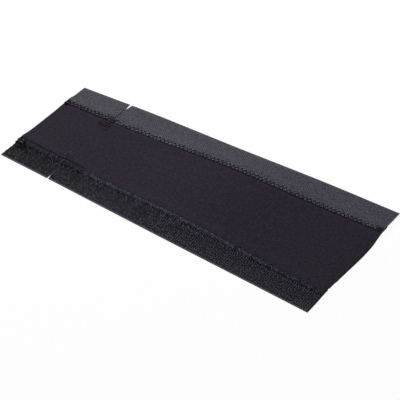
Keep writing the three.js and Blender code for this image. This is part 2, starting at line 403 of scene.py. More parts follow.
def weaveGroup():  # warp threads along X over weft threads along Y
    group, given, result = newGroup("plainWeave", ["Warp Pitch", "Weft Pitch"], ["Height"])
    x, y = axesOf(group, given.outputs["Vector"])
    weft = wave(group, x, given.outputs["Weft Pitch"])
    warp = wave(group, y, given.outputs["Warp Pitch"])
    over = mathNode(group, "MULTIPLY", weft, warp)
    notWeft, notWarp = mathNode(group, "SUBTRACT", 1.0, weft), mathNode(group, "SUBTRACT", 1.0, warp)
    under = mathNode(group, "MULTIPLY", notWeft, notWarp)
    fuzz = noiseNode(group, given.outputs["Vector"], 2600.0, 2.0)
    woven = mathNode(group, "ADD", over, under)
    group.links.new(mathNode(group, "MULTIPLY_ADD", fuzz, 0.35, woven), result.inputs["Height"])
    return group


def knitGroup():  # columns of V-shaped stitches that run along X
    group, given, result = newGroup("jerseyKnit", ["Wale Pitch", "Course Pitch"], ["Height", "Mottle"])
    x, y = axesOf(group, given.outputs["Vector"])
    wale = mathNode(group, "PINGPONG", mathNode(group, "DIVIDE", y, given.outputs["Wale Pitch"]), 0.5)
    lean = mathNode(group, "MULTIPLY", wale, given.outputs["Wale Pitch"])
    course = wave(group, mathNode(group, "ADD", x, lean), given.outputs["Course Pitch"])
    fuzz = noiseNode(group, given.outputs["Vector"], 3200.0, 2.0)
    stitch = mathNode(group, "MULTIPLY", course, mathNode(group, "MULTIPLY_ADD", wale, 1.4, 0.3))
    group.links.new(mathNode(group, "MULTIPLY_ADD", fuzz, 0.6, stitch), result.inputs["Height"])
    group.links.new(noiseNode(group, given.outputs["Vector"], 70.0, 4.0), result.inputs["Mottle"])
    return group


weave, knit = weaveGroup(), knitGroup()


def newMaterial(name, roughness, specular=0.35, sheen=0.0, sheenTint=(1, 1, 1, 1)):
    material = bpy.data.materials.new(name)
    material.use_nodes = True
    shader = material.node_tree.nodes["Principled BSDF"]
    shader.inputs["Roughness"].default_value = roughness
    shader.inputs["Specular IOR Level"].default_value = specular
    shader.inputs["Sheen Weight"].default_value = sheen
    shader.inputs["Sheen Roughness"].default_value = 0.5
    shader.inputs["Sheen Tint"].default_value = sheenTint
    place = material.node_tree.nodes.new("ShaderNodeTexCoord")
    return material, material.node_tree, shader, place.outputs["Object"]


def addGroup(tree, group, vector, **values):
    node = tree.nodes.new("ShaderNodeGroup")
    node.node_tree = group
    tree.links.new(vector, node.inputs["Vector"])
    for socket, value in values.items():
        node.inputs[socket.replace("_", " ")].default_value = value
    return node


def tintBetween(tree, factor, low, high):
    node = tree.nodes.new("ShaderNodeMix")
    node.data_type = "RGBA"
    node.inputs["A"].default_value, node.inputs["B"].default_value = (*low, 1), (*high, 1)
    tree.links.new(factor, node.inputs["Factor"])
    return node.outputs["Result"]


def scaled(tree, colour, amount):
    scale = tree.nodes.new("ShaderNodeVectorMath")
    scale.operation = "SCALE"
    tree.links.new(colour, scale.inputs[0])
    tree.links.new(amount, scale.inputs["Scale"])
    return scale.outputs[0]


def toneOf(tree):
    tone = tree.nodes.new("ShaderNodeAttribute")
    tone.attribute_name = "tone"
    return tone.outputs["Fac"]


def toned(tree, colour):
    return scaled(tree, colour, mathNode(tree, "ADD", toneOf(tree), 1.0))


def addBump(tree, shader, height, distance, strength=1.0):
    node = tree.nodes.new("ShaderNodeBump")
    node.inputs["Distance"].default_value = distance
    node.inputs["Strength"].default_value = strength
    tree.links.new(height, node.inputs["Height"])
    tree.links.new(node.outputs["Normal"], shader.inputs["Normal"])


def jerseyMaterial():
    material, tree, shader, place = newMaterial("neopreneJersey", 0.88, 0.25, 0.05, (0.75, 0.68, 0.85, 1))
    stitches = addGroup(tree, knit, place, Wale_Pitch=0.0006, Course_Pitch=0.00045)
    plum, slate = (0.0288, 0.015, 0.0322), (0.0206, 0.0168, 0.0318)
    tint = tintBetween(tree, stitches.outputs["Mottle"], plum, slate)
    grain = noiseNode(tree, place, 560.0, 3.0, 0.7)
    uneven = scaled(tree, toned(tree, tint), mathNode(tree, "MULTIPLY_ADD", grain, 2.6, -0.25))
    greyed = tree.nodes.new("ShaderNodeVectorMath")  # the lighter places are also less violet
    greyed.operation = "MULTIPLY_ADD"
    tree.links.new(toneOf(tree), greyed.inputs[0])
    greyed.inputs[1].default_value = (0.002, 0.01, 0.006)
    tree.links.new(uneven, greyed.inputs[2])
    tree.links.new(greyed.outputs[0], shader.inputs["Base Color"])
    addBump(tree, shader, stitches.outputs["Height"], 0.00012, 0.7)
    return material


def foamMaterial():
    material, tree, shader, place = newMaterial("foamCutEdge", 0.8, 0.3)
    cells = noiseNode(tree, place, 5200.0, 2.0)
    tint = tintBetween(tree, cells, (0.01, 0.0095, 0.011), (0.024, 0.022, 0.026))
    tree.links.new(tint, shader.inputs["Base Color"])
    addBump(tree, shader, cells, 0.00012)
    return material


def wovenMaterial(name, low, high, warpPitch, weftPitch, sheen, mottle, fade=0.0):
    material, tree, shader, place = newMaterial(name, 0.7, 0.35, sheen)
    threads = addGroup(tree, weave, place, Warp_Pitch=warpPitch, Weft_Pitch=weftPitch)
    tint = tintBetween(tree, threads.outputs["Height"], low, high)
    grain = noiseNode(tree, place, 1250.0, 1.0, 0.6)
    x, _ = axesOf(tree, place)
    contrast = mathNode(tree, "MULTIPLY_ADD", x, -fade, mottle)  # less towards the wide end
    grainy = mathNode(tree, "MULTIPLY_ADD", contrast, mathNode(tree, "SUBTRACT", grain, 0.5), 1.0)
    uneven = scaled(tree, toned(tree, tint), mathNode(tree, "MAXIMUM", grainy, 0.1))
    tree.links.new(uneven, shader.inputs["Base Color"])
    addBump(tree, shader, threads.outputs["Height"], 0.0002, 0.8)
    return material


def filamentMaterial(name, low, high, roughness, specular, scale):
    material, tree, shader, place = newMaterial(name, roughness, specular)
    streaks = noiseNode(tree, place, scale, 2.0)
    tree.links.new(toned(tree, tintBetween(tree, streaks, low, high)), shader.inputs["Base Color"])
    addBump(tree, shader, streaks, 0.00005, 0.6)
    return material


jersey = jerseyMaterial()
foam = foamMaterial()
loopGround = wovenMaterial(
    "loopTapeWeave",
    low=(0.003, 0.0028, 0.0048),
    high=(0.072, 0.0672, 0.1095),
    warpPitch=0.0019,
    weftPitch=0.0022,
    sheen=0.06,
    mottle=5.1,
    fade=11.0,
)
hookGround = wovenMaterial(
    "hookTapeWeave",
    low=(0.0078, 0.007, 0.0105),
    high=(0.0265, 0.0235, 0.0345),
    warpPitch=0.0009,
    weftPitch=0.0008,
    sheen=0.05,
    mottle=1.2,
)
hookNylon = filamentMaterial("hookNylon", (0.057, 0.0515, 0.078), (0.155, 0.14, 0.204), 0.55, 0.32, 900.0)
loopNylon = filamentMaterial("loopNylon", (0.03, 0.029, 0.036), (0.07, 0.068, 0.082), 0.5, 0.4, 900.0)
blackThread = filamentMaterial("blackThread", (0.004, 0.004, 0.005), (0.014, 0.014, 0.017), 0.55, 0.25, 1400.0)
glintingBlackThread = filamentMaterial("glintingBlackThread", (0.064, 0.065, 0.09), (0.152, 0.155, 0.216), 0.45, 0.4, 1400.0)
print("materials made")


# The neoprene panel
panel = {
    "stationLength": 0.42 * mm,
    "seamColumns": [
        *(0, 0.3, 0.6, 0.9, 1.2, 1.5, 1.8, 2.1, 2.4, 2.7, 3, 3.3, 3.6, 3.9, 4.2, 4.5, 4.8, 5.1),
        *(5.5, 6, 6.5, 7.1, 7.8, 8.6, 9.6, 11),
    ],
    "middleColumns": 26,
    "hiddenColumns": [12, 10.6, 9.5, 8.8, 8.3, 7.9, 7.6, 7.35, 7.1, 6, 4, 2, 0.6, 0],
    "nearTopZigzag": [
        *[(0, 1.62), (0.5, 1.86), (1.2, 2.12), (2, 2.3), (3, 2.46), (4.2, 2.64)],
        *[(5.6, 2.68), (7.4, 2.56), (9.4, 2.3), (13, 2.08), (18, 2)],
    ],
    "nearTopStraight": [
        *[(0, 1.66), (0.7, 1.96), (1.8, 2.34), (3, 2.5), (4.4, 2.3)],
        *[(5.6, 2.58), (7.4, 2.6), (9.4, 2.3), (13, 2.08), (18, 2)],
    ],
    "nearUnder": [(0, 1.5), (7.1, 1.5), (9.7, 0.54), (15, 0.5), (17.4, 0), (20, 0)],
    "farTop": [(0, 1.46), (7.1, 1.46), (7.5, 1.9), (8.2, 2.18), (10, 2.27), (12.4, 2.14), (18, 2)],
    "farUnder": [(0, 0.53), (15.6, 0.53), (17.6, 0), (20, 0)],
    "groove": 0.3 * mm,
    "puff": 0.16 * mm,
    "pucker": 0.09 * mm,
    "puckerLength": 6.2 * mm,
    "puckerReach": 4.5 * mm,
    "marginRipple": 0.17 * mm,
    "broadWave": 0.14 * mm,
    "edgeRound": 0.16 * mm,
    "seamChange": 4 * mm,
    "edgeLine": (1.4 * mm, 1.5 * mm),  # in from the edge, and how wide
    "unevenPitch": 5.3 * mm,
    "besideTape": 0.9 * mm,
    "besideLine": 0.75 * mm,
    "overlapPress": (0.1 * mm, 0.25 * mm),  # puff and groove
    "darnPress": (0.07 * mm, 0.34 * mm),
    "foamLevels": (0, 0.16, 0.86, 1),
}


def panelHeights(x, y, top):
    edge = widthsAt(x)[1]
    inward = edge - np.abs(y)
    near = easedProfile(inward, panel["nearUnder"])
    if top:
        turn = smooth((x - seamTurn) / panel["seamChange"] + 0.5)
        zigzagSewn = easedProfile(inward, panel["nearTopZigzag"])
        straightSewn = easedProfile(inward, panel["nearTopStraight"])
        near = straightSewn + turn * (zigzagSewn - straightSewn)
    far = easedProfile(inward, panel["farTop" if top else "farUnder"])
    return np.where(y > 0, far, near) + archAt(x)


def panelPuckers(x, y):  # short waves along the seams, and broad ones between them
    inner = widthsAt(x)[0]
    fromSeam = np.maximum(inner - np.abs(y), 0)
    swing = 0.7 * np.sin(x * 2 * np.pi / panel["puckerLength"] + 2 * np.sin(x * 41) + (y > 0) * 1.9)
    swing += 0.6 * sine(x, 2.7 * panel["puckerLength"], (y > 0) * 0.8)
    waves = panel["pucker"] * swing * np.exp(-fromSeam / panel["puckerReach"]) * (y < inner)
    loose = smooth((seamTurn - x) / panel["seamChange"]) * (y < 0)
    margin = smooth((np.abs(y) - widthsAt(x)[1] + 4.2 * mm) / (2.5 * mm))
    ripple = sine(x, 4.6 * mm, 1.5 * np.sin(x * 130)) + 0.7 * sine(x, 2.7 * mm, 2)
    waves += panel["marginRipple"] * loose * margin * ripple
    broad = panel["broadWave"] * (np.sin(x * 62 + y * 35) + np.sin(x * 27 - y * 80 + 1.3))
    return waves + broad * smooth(fromSeam / (9 * mm))


def wideShare(x):  # the hook seam's painted highlights and thread glints fade towards the wide end
    return ramp(x, 60 * mm, 40 * mm)


def makePanel():
    stations = round(wrap["length"] / panel["stationLength"])
    nearCount, farCount = len(panel["seamColumns"]), len(panel["hiddenColumns"])
    farFirst = nearCount + panel["middleColumns"]
    columns = farFirst + farCount - 1
    piece, station, column, level = countedSheet("neoprenePanel", stations, columns, 4)
    x = stationAt(station, stations)
    inner, edge, _, _ = widthsAt(x)
    nearInset = np.array(panel["seamColumns"]) * mm
    farInset = np.array(panel["hiddenColumns"]) * mm
    nearY = -edge + nearInset[np.minimum(column, nearCount - 1)]
    farY = edge - farInset[np.clip(column - farFirst, 0, farCount - 1)]
    nearEnd, farStart = -edge + nearInset[-1], edge - farInset[0]
    middle = (column - nearCount + 1) / (panel["middleColumns"] + 1)
    y = nearEnd + (farStart - nearEnd) * middle
    y = np.where(column < nearCount, nearY, np.where(column >= farFirst, farY, y))

    # The faces, pressed in and puckered by the stitches
    top, under = panelHeights(x, y, True), panelHeights(x, y, False)
    waves = panelPuckers(x, y)
    top += waves
    under += 0.3 * waves * (under > 0.1 * mm)
    outward = np.abs(y) - edge
    zigzagSewn = x > hookParts[1][0, 0]
    zigzagSide, straightSide = (y < 0) * zigzagSewn, (y < 0) * ~zigzagSewn
    groove, puff, shade = hookMarks(x, y)
    top += panel["puff"] * puff - panel["groove"] * groove
    lineInset, lineWidth = panel["edgeLine"]
    atEdge = bell(outward + lineInset, lineWidth) * zigzagSide
    uneven = 1 + 0.7 * sine(x, panel["unevenPitch"], 3 * np.sin(x * 97)) * np.sin(x * 411 + 1)
    highlightStrength = 1 - 0.45 * wideShare(x)
    # painted highlights on the swellings along the hook seam's edge, and painted shade along its threads and
    # holes
    tone = 1.3 * highlightStrength * puff * atEdge * uneven - 0.7 * shade - 0.09 * smooth(-x / (90 * mm))
    # painted light over the shadow line beside the loop tape's edge, turning to painted shade towards the wide
    # end
    besideTape = bell(inner - y, panel["besideTape"]) * (y < inner)
    beforeTrim = x < trimLine
    tone += besideTape * (0.35 + 0.4 * beforeTrim - 0.55 * ramp(x, -60 * mm, 60 * mm))
    # painted shade along the straight stitches
    atLine = bell(outward + sewing["straightInset"], panel["besideLine"]) * straightSide
    tone -= 0.15 * atLine * (0.75 + 0.25 * sine(x, sewing["straightStitch"]))
    # painted light on the loose margin and its ripples, painted shade where it rounds down at the edge
    margin = ramp(outward, -3.7 * mm, 1 * mm) * straightSide
    ripple = sine(x, 4.1 * mm, 3 * np.sin(x * 170)) * np.sin(x * 233 + 2)
    tone += margin * (0.34 * ripple + 0.34 - 0.5 * ramp(outward, -1.6 * mm, 1.2 * mm))
    groove, puff, shade = besideMarks(x, y)
    puffUp, grooveDown = panel["overlapPress"]
    top += puffUp * puff - grooveDown * groove
    # painted highlights on the swellings of the overlapping zigzag, painted shade along its threads and holes
    tone += 0.6 * puff * uneven - 0.6 * shade
    puffUp, grooveDown = panel["darnPress"]
    # the darning presses in, with painted highlights on its swellings and painted shade along its stitches
    for marks in darnMarks:
        groove, puff, shade = marks(x, y)
        top += puffUp * puff - grooveDown * groove
        tone += 0.5 * puff * (y < 0) - 0.85 * shade

    # The cut edge: foam between the two faces of jersey, its corners slightly round
    z = top + (under - top) * np.array(panel["foamLevels"])[level]
    inset = np.where((level == 0) | (level == 3), panel["edgeRound"], 0)
    across = np.clip((y + inner) / (2 * inner), 0, 1)
    nearness = np.clip(1 - (wideEnd - x) / wrap["endBowRun"], 0, 1)
    bow = wrap["endBow"] * nearness * np.sin(np.pi * across ** wrap["endBowSkew"])
    wobble = 0.34 * np.sin(x * 1370 + 2 * np.sin(x * 300)) + 0.2 * np.sin(x * 610 + 1)
    scallop = np.where(zigzagSewn, 0.45 * np.sin(x * np.pi / sewing["stitch"]) * uneven, wobble) * mm
    scallop = scallop * np.exp(-np.maximum(edge + y, 0) / (0.5 * mm)) * (y < 0)
    y = y + inset * fromEnds(column, columns) + scallop
    endways = inset * fromEnds(station, stations)
    putPlaces(piece, np.column_stack([x + bow + skewAt(x, y) + endways, y, z]))

    spans = [level[list(face.vertices)] for face in piece.data.polygons]
    betweenFaces = [span.min() == 1 and span.max() == 2 for span in spans]
    setTone(piece, tone)
    finishSheet(piece, [jersey, foam])
    piece.data.polygons.foreach_set("material_index", np.array(betweenFaces).astype(np.int32))
    piece.data.update()
    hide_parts("neoprene_panel")
    return piece


neoprenePanel = makePanel()
print("panel:", len(neoprenePanel.data.polygons), "faces")


# The loop tape lies on the panel, woven back up and loops down.
loopTape = {
    "stationLength": 0.2 * mm,
    "columns": [
        *(0, 0.3, 0.6, 0.95, 1.3, 1.65, 2, 2.35, 2.7, 3.05, 3.4, 3.75, 4.1, 4.6, 5.4, 6.4, 7.4, 8.6),
        *(10, 12, 14.5, 17, 19.5, 21, 21.8, 22.4, 22.8, 23),
    ],
    "top": [
        *[(0, 2.34), (0.5, 2.5), (1, 2.48), (3.4, 2.48), (4.6, 2.6), (6.2, 2.66), (7.4, 2.5)],
        *[(9, 2.05), (11, 1.76), (13, 1.7), (21, 1.7), (21.8, 1.66), (23, 1.22)],
    ],
    "under": [(0, 1.5), (7.2, 1.5), (8.6, 1.32), (11, 1.22), (13, 1.2), (21, 1.2), (21.8, 1.16), (23, 0.82)],
    "rib": 0.09 * mm,
    "ribPitch": 0.75 * mm,
    "groove": 0.42 * mm,
    "puff": 0.24 * mm,
    "mouthWidth": 1.8 * mm,
    "mouthInnerWidth": 1.2 * mm,
    "mouthDepth": 4 * mm,
    "kerf": 0.45 * mm,
    "slitStop": 4.6 * mm,
    "round": 0.1 * mm,
    "selvedge": 1.9 * mm,
    "selvedgePitch": 2.3 * mm,
    "cutEndHighlightPitch": 2.2 * mm,
    "strokeGroove": 0.25 * mm,
    "edgeScallop": 0.13 * mm,
}


def ribsAt(x, settings):
    return settings["rib"] * np.abs(np.sin(np.pi * x / settings["ribPitch"]))


def openMouth(x, reach, outer, settings):  # the slit gapes at the tape's outer edge
    fromEdge = outer - reach
    openness = np.clip(1 - fromEdge / settings["mouthDepth"], 0, 1)
    half = settings["mouthInnerWidth"] + (settings["mouthWidth"] - settings["mouthInnerWidth"]) * openness
    half = half / 2 * smooth(1 - (fromEdge - settings["mouthDepth"]) / (0.5 * mm))
    stop = widthsAt(x)[0] + settings["slitStop"]
    half = np.maximum(half, settings["kerf"] / 2 - 0.1 * mm) * smooth((reach - stop + 0.3 * mm) / (0.4 * mm))
    away = x - trimLine
    return np.sign(away) * half * bell(away, 6 * mm)


def tapeHeights(nominal, settings, face):
    return easedProfile(nominal, settings[face], 0.5 * mm)


def reachOf(nominal, inner, outer):  # from the middle line, where the tape's bowed edge stretches it
    return inner + nominal * (outer - inner) / tapeWidth


def startTape(name, settings):  # three levels of a tape with its slit, and the ways out of its middle
    stations = round(wrap["length"] / settings["stationLength"])
    columns = len(settings["columns"]) - 1
    kerf = int((trimLine - narrowEnd) / settings["stationLength"])
    firstCut = sum(column * mm < settings["slitStop"] for column in settings["columns"])
    piece, station, column, level = countedSheet(name, stations, columns, 3, (kerf, firstCut, columns))
    nominal = np.array(settings["columns"])[column] * mm
    inset = np.where(level == 1, 0, settings["round"])
    ways = inset * fromEnds(station, stations), inset * fromEnds(column, columns)
    return piece, stationAt(station, stations), nominal, level, *ways


def layered(level, top, under):
    return np.where(level == 0, top, np.where(level == 1, (top + under) / 2, under))


def makeLoopTape():
    piece, x, nominal, level, endways, sideways = startTape("loopTape", loopTape)
    inner, _, outer, _ = widthsAt(x)
    reach = reachOf(nominal, inner, outer)
    fromTrim = x - trimLine
    top, under = (tapeHeights(nominal, loopTape, face) for face in ("top", "under"))
    groove, puff, shade = loopMarks(x, reach)
    top += loopTape["puff"] * puff - loopTape["groove"] * groove + ribsAt(x, loopTape)
    under += 0.4 * ribsAt(x, loopTape) * (nominal > lap)
    atSelvedge = smooth((nominal - tapeWidth + loopTape["selvedge"]) / (0.6 * mm))
    atInnerEdge = bell(nominal, 1.3 * mm)
    quiet = 1 - 0.55 * smooth((trimLine - 3 * mm - x) / (6 * mm))  # the seam's painted highlights and shade are weaker before the slit
    # painted highlights on the swellings between stitches, brightest at the tape's inner edge, and painted
    # shade along threads and holes
    tone = quiet * ((0.5 + 0.7 * atInnerEdge) * puff - 0.5 * shade)
    tone += 0.7 * atSelvedge * sine(x, loopTape["selvedgePitch"])
    # painted shade towards the narrow end and painted light towards the wide end, against the key light's
    # fall-off, and painted highlights along the wide cut end
    cutEndHighlight = 0.35 + 0.4 * sine(reach, loopTape["cutEndHighlightPitch"])
    tone += 0.31 * x / wideEnd + bell(wideEnd - x, 0.8 * mm) * cutEndHighlight
    inSeam = smooth((5 * mm - nominal) / (1.6 * mm))
    towardsTrim = smooth(-(x + 10 * mm) / (40 * mm))
    tone -= inSeam * (0.52 * (fromTrim < 0) + 0.16 * ramp(x, 30 * mm, 50 * mm) - 0.16 * towardsTrim)
    tone -= 1.4 * shade * bell(fromTrim, 2.8 * mm)
    # the inner edge: painted shade towards the wide end, and painted light on its shaded side face towards the
    # trim line
    tone -= 0.5 * bell(nominal, 0.7 * mm) * ramp(x, 20 * mm, 50 * mm)
    tone += 0.6 * bell(nominal, 0.5 * mm) * towardsTrim
    tone -= 0.3 * inSeam * bell(x + 78 * mm, 13 * mm)
    tone += 0.14 * ramp(nominal, 18 * mm, 2.5 * mm) + 0.15 * atSelvedge
    tone -= 0.3 * bell(fromTrim, 3.4 * mm) * inSeam
    groove, _, shade = barMarks(x, reach)
    top -= loopTape["strokeGroove"] * groove
    tone -= 0.75 * shade
    # painted shade along the closed slit
    tone -= 0.6 * bell(fromTrim, 0.5 * mm) * ramp(nominal, loopTape["slitStop"], 0.4 * mm)
    z = layered(level, top, under) + liftAt(x, reach)
    y = reach + sideways
    y += loopTape["edgeScallop"] * np.sin(x * np.pi / sewing["stitch"] + 0.6) * (nominal == 0)
    x = x + openMouth(x, reach, outer, loopTape) + skewAt(x, y) + endways
    putPlaces(piece, np.column_stack([x, y, z]))
    setTone(piece, tone)
    finishSheet(piece, [loopGround])
    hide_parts("loop_tape")
    return piece


loopTapePiece = makeLoopTape()
print("loop tape:", len(loopTapePiece.data.polygons), "faces")


# The hook tape lies under the panel, hooks up.
hookTape = {
    "stationLength": 0.25 * mm,
    "columns": [
        *(0, 0.4, 1.6, 3.2, 4.8, 6.4, 7.4, 8.2, 9, 10, 11, 12),
        *(13.2, 14.6, 16, 17.4, 18.8, 20.2, 21.2, 21.8, 22.3, 22.7, 23),
    ],
    "top": [
        *[(0, 1.4), (1, 1.49), (6.9, 1.49), (7.6, 1.05), (9, 0.86)],
        *[(11.7, 0.55), (13, 0.5), (21.4, 0.5), (22.2, 0.56), (23, 0.44)],
    ],
    "under": [(0, 0.51), (7.2, 0.51), (11.7, 0.06), (13, 0), (23, 0)],
    "rib": 0.06 * mm,
    "ribPitch": 1 * mm,
    "mouthWidth": 1.9 * mm,
    "mouthInnerWidth": 0.4 * mm,
    "mouthDepth": 3.4 * mm,
    "kerf": 0.4 * mm,
    "slitStop": 7.2 * mm,
    "round": 0.08 * mm,
    "selvedge": 1.3 * mm,
    "selvedgePitch": 1.9 * mm,
    "shadeRun": 110 * mm,  # painted shade on the ground towards the narrow end, against the stronger key light there
}


def hookGroundTop(x, nominal):
    reach = widthsAt(x)[3] - tapeWidth + nominal
    return tapeHeights(nominal, hookTape, "top") + liftAt(x, -reach)


def makeHookTape():
    piece, x, nominal, level, endways, sideways = startTape("hookTapeGround", hookTape)
    inner, _, _, outer = widthsAt(x)
    reach = reachOf(nominal, inner, outer)
    ribs = ribsAt(x, hookTape)
    top = tapeHeights(nominal, hookTape, "top") + ribs * (nominal > lap)
    under = tapeHeights(nominal, hookTape, "under") + ribs * 0.5
    z = layered(level, top, under) + liftAt(x, -reach)
    atSelvedge = smooth((nominal - tapeWidth + hookTape["selvedge"]) / (0.7 * mm))
    y = -(reach + sideways)
    x = x + openMouth(x, reach, outer, hookTape) + skewAt(x, y) + endways
    putPlaces(piece, np.column_stack([x, y, z]))
    selectOnly(piece)
    turnFacesOut()
    # painted shade on the ground towards the narrow end
    atNarrowEnd = 1 - ramp(x, narrowEnd, hookTape["shadeRun"])
    edgeTone = 6 + 2.8 * sine(x, hookTape["selvedgePitch"])
    setTone(piece, atSelvedge * edgeTone - 0.65 * atNarrowEnd * (1 - atSelvedge))
    finishSheet(piece, [hookGround])
    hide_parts("hook_tape")
    return piece


hookTapePiece = makeHookTape()
print("hook tape ground:", len(hookTapePiece.data.polygons), "faces")


# Bristles: one shape of a few dozen faces, copied to its places in one mesh
def tubeAlong(line, radius, sides):
    line = np.array(line)
    headings = np.gradient(line, axis=0)
    headings /= np.linalg.norm(headings, axis=1)[:, None]
    sideways = np.array([0, 1, 0])
    rings = []
    for point, heading in zip(line, headings):
        upward = np.cross(heading, sideways)
        upward /= np.linalg.norm(upward)
        turns = np.arange(sides) * 2 * np.pi / sides
        rings.append(point + radius * (np.cos(turns)[:, None] * sideways + np.sin(turns)[:, None] * upward))
    faces = []
    for ring in range(len(line) - 1):
        for side in range(sides):
            a, b = ring * sides + side, ring * sides + (side + 1) % sides
            faces.append((a, b, b + sides, a + sides))
    last = (len(line) - 1) * sides
    caps = [tuple(range(sides))[::-1], tuple(range(last, last + sides))]
    return np.vstack(rings), faces, caps


def copiesAt(name, shapes, spots, turns, tilts, sizes, tones):
    points, faces, offset = [], [], 0
    for spot, turn, tilt, size, number in zip(spots, turns, tilts, sizes, range(len(spots))):
        shapePoints, shapeFaces = shapes[number % len(shapes)]
        c, s = math.cos(turn), math.sin(turn)
        leaning = shapePoints * size
        leaning = leaning + np.outer(leaning[:, 2], [tilt[0], tilt[1], 0])
        turned = leaning @ np.array([[c, s, 0], [-s, c, 0], [0, 0, 1]])
        points.append(turned + spot)
        faces.extend([tuple(v + offset for v in face) for face in shapeFaces])
        offset += len(shapePoints)
    mesh = bpy.data.meshes.new(name)
    mesh.from_pydata(np.vstack(points).tolist(), [], faces)
    mesh.update()
    piece = newObject(name, mesh)
    setTone(piece, np.repeat(tones, [len(part) for part in points]))
    return piece


def joined(parts):  # several tubes as one shape
    points, faces, offset = [], [], 0
    for part, sides, caps in parts:
        points.append(part)
        faces.extend([tuple(v + offset for v in face) for face in sides + caps])
        offset += len(part)
    return np.vstack(points), faces


hooks = {
    "pitchAlong": 1.6 * mm,
    "pitchAcross": 1.07 * mm,
    "rows": 14,
    "height": 1.2 * mm,
    "filament": 0.16 * mm,
    "bend": 0.28 * mm,
}


def hookShape():  # a bristle that bends over at its tip, beside the stub it was cut from
    top, bend = hooks["height"] - hooks["filament"] - hooks["bend"], hooks["bend"]
    turns = np.radians([0, 45, 90, 135, 185])
    arc = [(bend - bend * math.cos(turn), 0, top + bend * math.sin(turn)) for turn in turns]
    hook = tubeAlong([(0, 0, -0.1 * mm), (0, 0, 0.55 * top), *arc], hooks["filament"], 5)
    stub = tubeAlong([(1.7 * bend, 0, -0.1 * mm), (1.9 * bend, 0, 0.42 * top)], hooks["filament"], 5)
    return joined([hook, stub])


def makeHooks():
    shape = hookShape()
    spots, turns, tilts, sizes, tones = [], [], [], [], []
    columns = round(wrap["length"] / hooks["pitchAlong"])
    for number in range(columns):
        atNarrowEnd = 1 - smooth(number * hooks["pitchAlong"] / (100 * mm))
        columnShade = np.clip(dice.normal(0, 0.13), -0.3, 0.25) + 0.3 * atNarrowEnd * (-1) ** number
        for row in range(hooks["rows"]):
            x = narrowEnd + (number + 0.5) * hooks["pitchAlong"] + dice.normal(0, 0.13) * mm
            nominal = lap + 0.1 * mm + row * hooks["pitchAcross"] + dice.normal(0, 0.16) * mm
            outer = widthsAt(x)[3]
            reach = outer - tapeWidth + nominal
            parted = openMouth(x, reach, outer, hookTape)
            x += parted
            if abs(x - trimLine) < abs(parted) + 0.4 * mm or x > wideEnd - 0.5 * mm:
                continue
            crush = 0.9 + 0.1 * ramp(nominal, lap, 2.2 * mm)
            spots.append((x + skewAt(x, -reach), -reach, hookGroundTop(x, nominal)))
            turns.append(math.pi / 2 * dice.choice([-1, 1]) + dice.normal(0, 0.35))
            tilts.append(dice.normal(0, 0.16, 2))
            sizes.append(np.array([1, 1, crush * (1 + dice.normal(0, 0.1))]))
            # painted shade on the hooks towards the narrow end, against the stronger key light there
            narrowEndShade = 1 - 0.5 * atNarrowEnd
            # painted light on the hooks beside the seam, lifting the shadow of the panel's edge
            beside = smooth((lap + 2.6 * mm - nominal) / (2 * mm))
            atSeam = 1 + (0.5 if x > hookParts[1][0, 0] else 0.1) * beside
            spread = 1.2 - 0.95 * ramp(x, -60 * mm, 150 * mm)
            rarity = 1 + 1.2 * atNarrowEnd  # fewer but brighter hooks catch the light there
            shine = dice.uniform(0, 1) ** rarity * (rarity + 1) - 1
            local = 1 + 0.26 * ramp(nominal, 16 * mm, 5 * mm) + 1.2 * beside * atNarrowEnd ** 6
            local *= 1 + 0.28 * bell(x - 24 * mm, 30 * mm) - 0.13 * bell(x + 45 * mm, 24 * mm)
            tones.append(local * narrowEndShade * atSeam * math.exp(columnShade) * (1.26 + spread * shine) - 1)
    piece = copiesAt("hooks", [shape], spots, turns, tilts, sizes, tones)
    finishSheet(piece, [hookNylon], 60)
    print("hooks:", len(spots), "of", len(shape[1]), "faces")
    return piece


hookPiece = makeHooks()


loops = {"spacing": 1.15 * mm, "filament": 0.06 * mm, "width": 0.9 * mm}


def loopShape(lean):  # a thread that leaves the ground, hangs down in a bow and comes back
    turns = np.radians([0, 35, 72, 108, 145, 180])
    half, drop = loops["width"] / 2, heights["pile"] - 2 * loops["filament"]
    line = [(-half * math.cos(t), 0, -drop * math.sin(t) ** 0.8 + 0.08 * mm * math.cos(t) ** 2) for t in turns]
    points, sides, caps = tubeAlong([(a, b + lean * c, c) for a, b, c in line], loops["filament"], 4)
    return points, sides + caps


def makeLoops():
    shapes = [loopShape(lean) for lean in (-0.5, 0.1, 0.6)]
    spots, turns, tilts, sizes = [], [], [], []
    x = narrowEnd + 0.7 * mm
    while x < wideEnd - 0.7 * mm:
        for nominal in np.arange(8.2 * mm, 21.9 * mm, loops["spacing"]):
            spotX = x + dice.normal(0, 0.25) * mm
            spotNominal = nominal + dice.normal(0, 0.25) * mm
            inner, _, outer, _ = widthsAt(spotX)
            reach = reachOf(spotNominal, inner, outer)
            spotX += openMouth(spotX, reach, outer, loopTape)
            if abs(spotX - trimLine) < 0.6 * mm:
                continue
            ground = tapeHeights(spotNominal, loopTape, "under") + liftAt(spotX, reach)
            size = dice.uniform(0.75, 0.98)
            spots.append((spotX + skewAt(spotX, reach), reach, ground + 0.05 * mm))
            turns.append(dice.uniform(0, 2 * math.pi))
            tilts.append(dice.normal(0, 0.2, 2))
            sizes.append(np.array([1, 1, size * min(1, ground / heights["pile"])]))
        x += loops["spacing"]
    piece = copiesAt("loops", shapes, spots, turns, tilts, sizes, dice.normal(0, 0.15, len(spots)))
    finishSheet(piece, [loopNylon], 60)
    print("loops:", len(spots), "of", len(shapes[0][1]), "faces")
    return piece


loopPiece = makeLoops()


